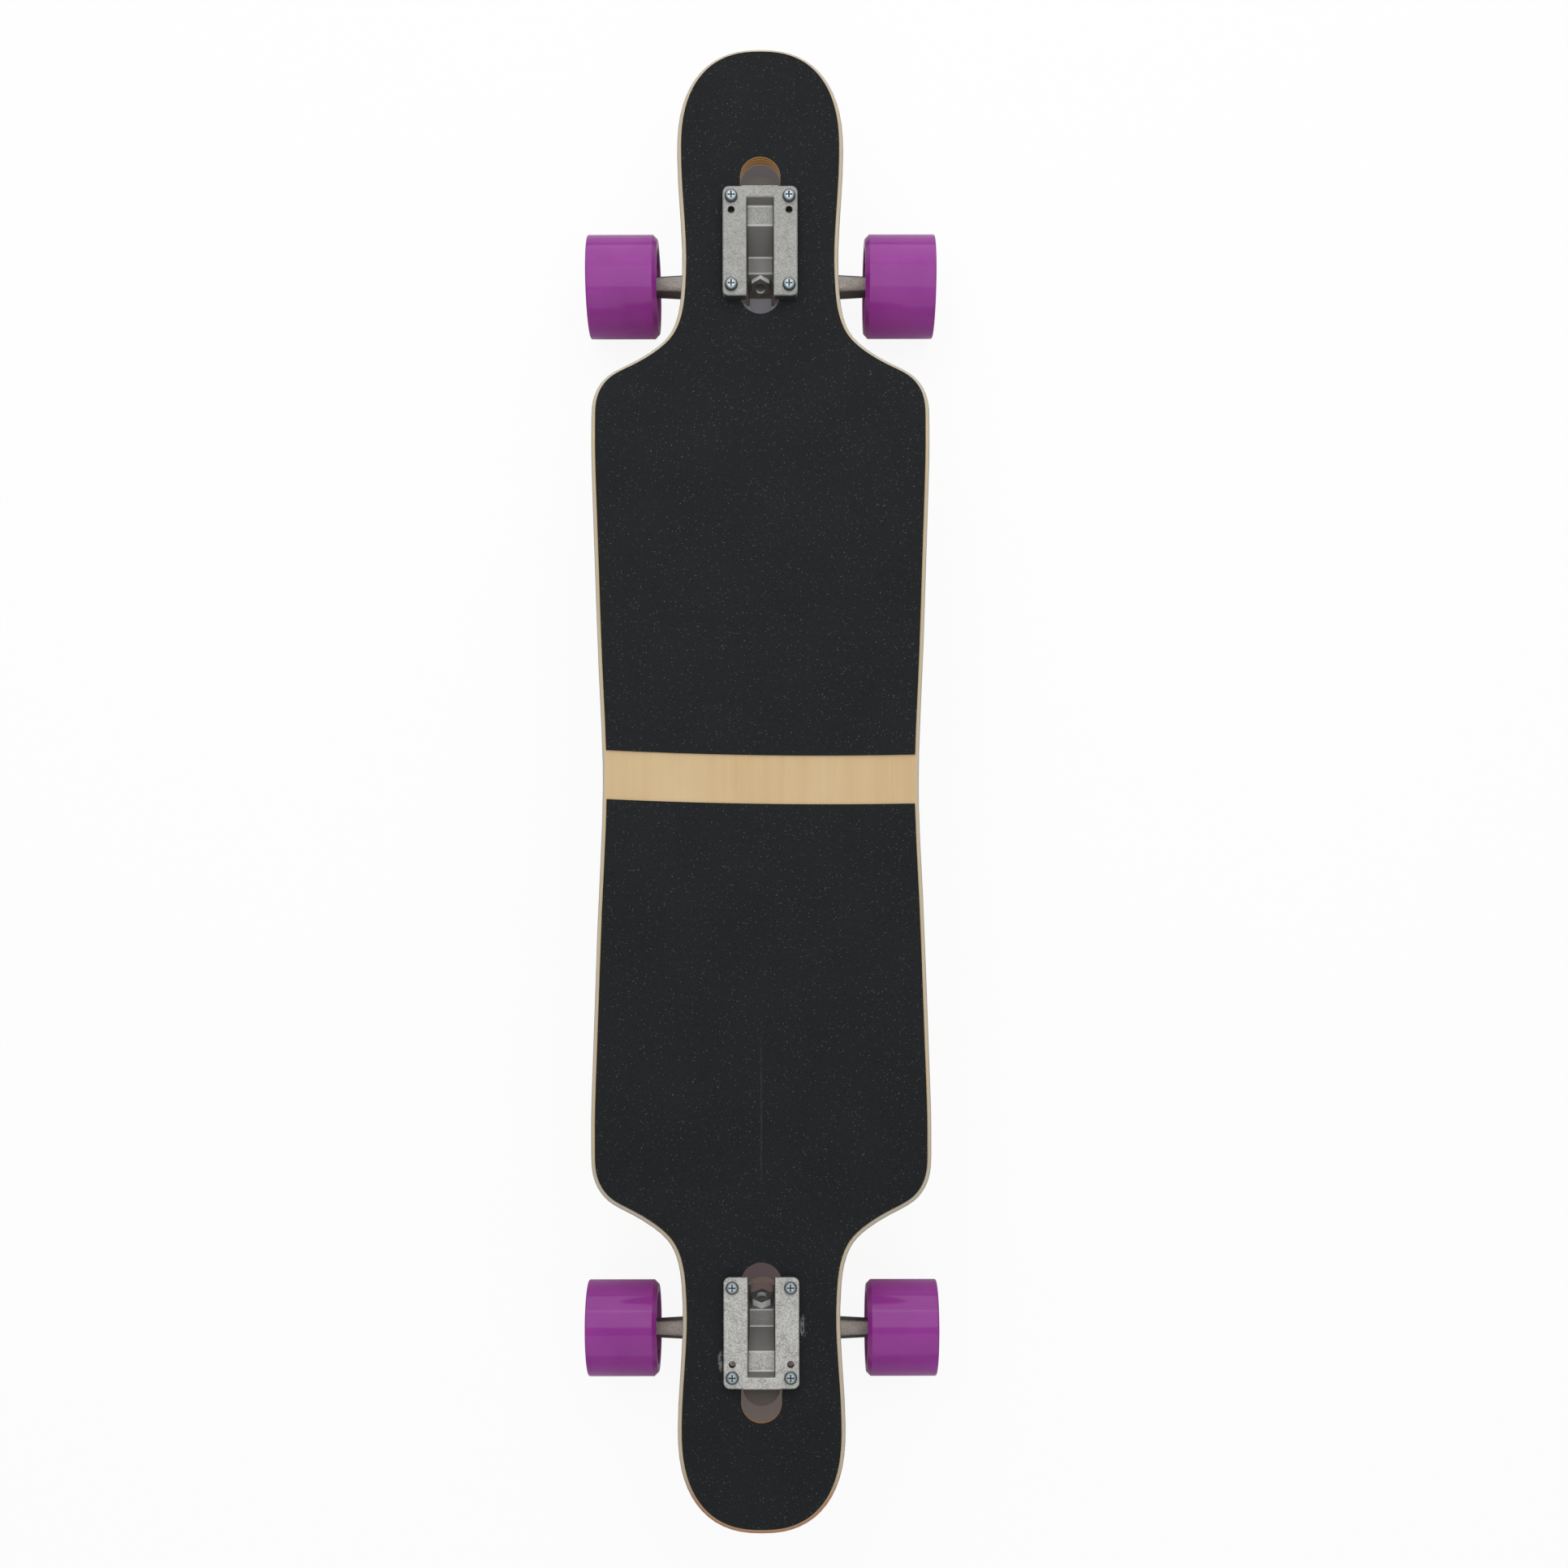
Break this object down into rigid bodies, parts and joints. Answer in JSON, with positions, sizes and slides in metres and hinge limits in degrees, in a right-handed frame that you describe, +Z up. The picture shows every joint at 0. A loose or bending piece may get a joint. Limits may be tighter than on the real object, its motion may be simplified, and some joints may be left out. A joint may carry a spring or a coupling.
{
  "type": "longboard skateboard",
  "caption": "Drop-through longboard skateboard with a dished plywood deck, grip sheets either side of a bare stripe, reverse-kingpin trucks and purple urethane wheels",
  "frame": {"origin": "on the floor under the middle of the board, midway between the four wheels", "axes": "+X to the right of the board, +Y toward the nose, +Z up"},
  "size_m": [0.258, 1.064, 0.1154],
  "materials": {
    "maple_ply": "satin",
    "grip": "coarse grit",
    "cast_aluminium": "matt cast",
    "bright_steel": "zinc plated",
    "bearing_steel": "ground",
    "shield_steel": "satin",
    "bushing_urethane": "satin",
    "black_nylon": "matt",
    "wheel_urethane": "glossy",
    "core_plastic": "satin"
  },
  "bodies": {
    "deck": {"deck": "maple_ply", "grip_tape_front": "grip", "grip_tape_rear": "grip", "front_baseplate": "cast_aluminium", "front_pivot_cup": "black_nylon", "front_kingpin": "bright_steel", "front_kingpin_nut": "bright_steel", "front_boardside_bushing": "bushing_urethane", "front_roadside_bushing": "bushing_urethane", "front_bushing_washers": "bright_steel", "front_deck_screws": "bright_steel", "front_deck_nuts": "bright_steel", "rear_baseplate": "cast_aluminium", "rear_pivot_cup": "black_nylon", "rear_kingpin": "bright_steel", "rear_kingpin_nut": "bright_steel", "rear_boardside_bushing": "bushing_urethane", "rear_roadside_bushing": "bushing_urethane", "rear_bushing_washers": "bright_steel", "rear_deck_screws": "bright_steel", "rear_deck_nuts": "bright_steel"},
    "front_truck": {"front_hanger": "cast_aluminium", "front_axle": "bright_steel", "front_axle_nuts": "bright_steel", "front_speed_washers": "bright_steel", "front_left_bearing_inner_races": "bearing_steel", "front_left_bearing_spacer": "bearing_steel", "front_right_bearing_inner_races": "bearing_steel", "front_right_bearing_spacer": "bearing_steel"},
    "front_left_wheel": {"front_left_tyre": "wheel_urethane", "front_left_core": "core_plastic", "front_left_bearing_outer_races": "bearing_steel", "front_left_bearing_shields": "shield_steel"},
    "front_left_balls": {"front_left_bearing_balls": "bearing_steel"},
    "front_right_wheel": {"front_right_tyre": "wheel_urethane", "front_right_core": "core_plastic", "front_right_bearing_outer_races": "bearing_steel", "front_right_bearing_shields": "shield_steel"},
    "front_right_balls": {"front_right_bearing_balls": "bearing_steel"},
    "rear_truck": {"rear_hanger": "cast_aluminium", "rear_axle": "bright_steel", "rear_axle_nuts": "bright_steel", "rear_speed_washers": "bright_steel", "rear_left_bearing_inner_races": "bearing_steel", "rear_left_bearing_spacer": "bearing_steel", "rear_right_bearing_inner_races": "bearing_steel", "rear_right_bearing_spacer": "bearing_steel"},
    "rear_left_wheel": {"rear_left_tyre": "wheel_urethane", "rear_left_core": "core_plastic", "rear_left_bearing_outer_races": "bearing_steel", "rear_left_bearing_shields": "shield_steel"},
    "rear_left_balls": {"rear_left_bearing_balls": "bearing_steel"},
    "rear_right_wheel": {"rear_right_tyre": "wheel_urethane", "rear_right_core": "core_plastic", "rear_right_bearing_outer_races": "bearing_steel", "rear_right_bearing_shields": "shield_steel"},
    "rear_right_balls": {"rear_right_bearing_balls": "bearing_steel"}
  },
  "joints": [
    {"name": "front_steer", "type": "hinge", "parent": "deck", "child": "front_truck", "pos_m": [0, 0.393, 0.067], "axis": [0, 0.6428, 0.766], "range_deg": [-18, 18], "stiffness_Nm_per_rad": 60, "deforming": ["front_boardside_bushing", "front_roadside_bushing"]},
    {"name": "front_left_spin", "type": "hinge", "parent": "front_truck", "child": "front_left_wheel", "pos_m": [-0.103, 0.39, 0.036], "axis": [1, 0, 0], "continuous": true},
    {"name": "front_left_ball_spin", "type": "hinge", "parent": "front_truck", "child": "front_left_balls", "pos_m": [-0.103, 0.39, 0.036], "axis": [1, 0, 0], "continuous": true},
    {"name": "front_right_spin", "type": "hinge", "parent": "front_truck", "child": "front_right_wheel", "pos_m": [0.103, 0.39, 0.036], "axis": [1, 0, 0], "continuous": true},
    {"name": "front_right_ball_spin", "type": "hinge", "parent": "front_truck", "child": "front_right_balls", "pos_m": [0.103, 0.39, 0.036], "axis": [1, 0, 0], "continuous": true},
    {"name": "rear_steer", "type": "hinge", "parent": "deck", "child": "rear_truck", "pos_m": [0, -0.393, 0.067], "axis": [0, -0.6428, 0.766], "range_deg": [-18, 18], "stiffness_Nm_per_rad": 60, "deforming": ["rear_boardside_bushing", "rear_roadside_bushing"]},
    {"name": "rear_left_spin", "type": "hinge", "parent": "rear_truck", "child": "rear_left_wheel", "pos_m": [-0.103, -0.39, 0.036], "axis": [1, 0, 0], "continuous": true},
    {"name": "rear_left_ball_spin", "type": "hinge", "parent": "rear_truck", "child": "rear_left_balls", "pos_m": [-0.103, -0.39, 0.036], "axis": [1, 0, 0], "continuous": true},
    {"name": "rear_right_spin", "type": "hinge", "parent": "rear_truck", "child": "rear_right_wheel", "pos_m": [0.103, -0.39, 0.036], "axis": [1, 0, 0], "continuous": true},
    {"name": "rear_right_ball_spin", "type": "hinge", "parent": "rear_truck", "child": "rear_right_balls", "pos_m": [0.103, -0.39, 0.036], "axis": [1, 0, 0], "continuous": true}
  ],
  "couplings": [
    {"joint": "front_left_ball_spin", "follows": "front_left_spin", "ratio": 0.6323},
    {"joint": "front_right_ball_spin", "follows": "front_right_spin", "ratio": 0.6323},
    {"joint": "rear_left_ball_spin", "follows": "rear_left_spin", "ratio": 0.6323},
    {"joint": "rear_right_ball_spin", "follows": "rear_right_spin", "ratio": 0.6323}
  ]
}
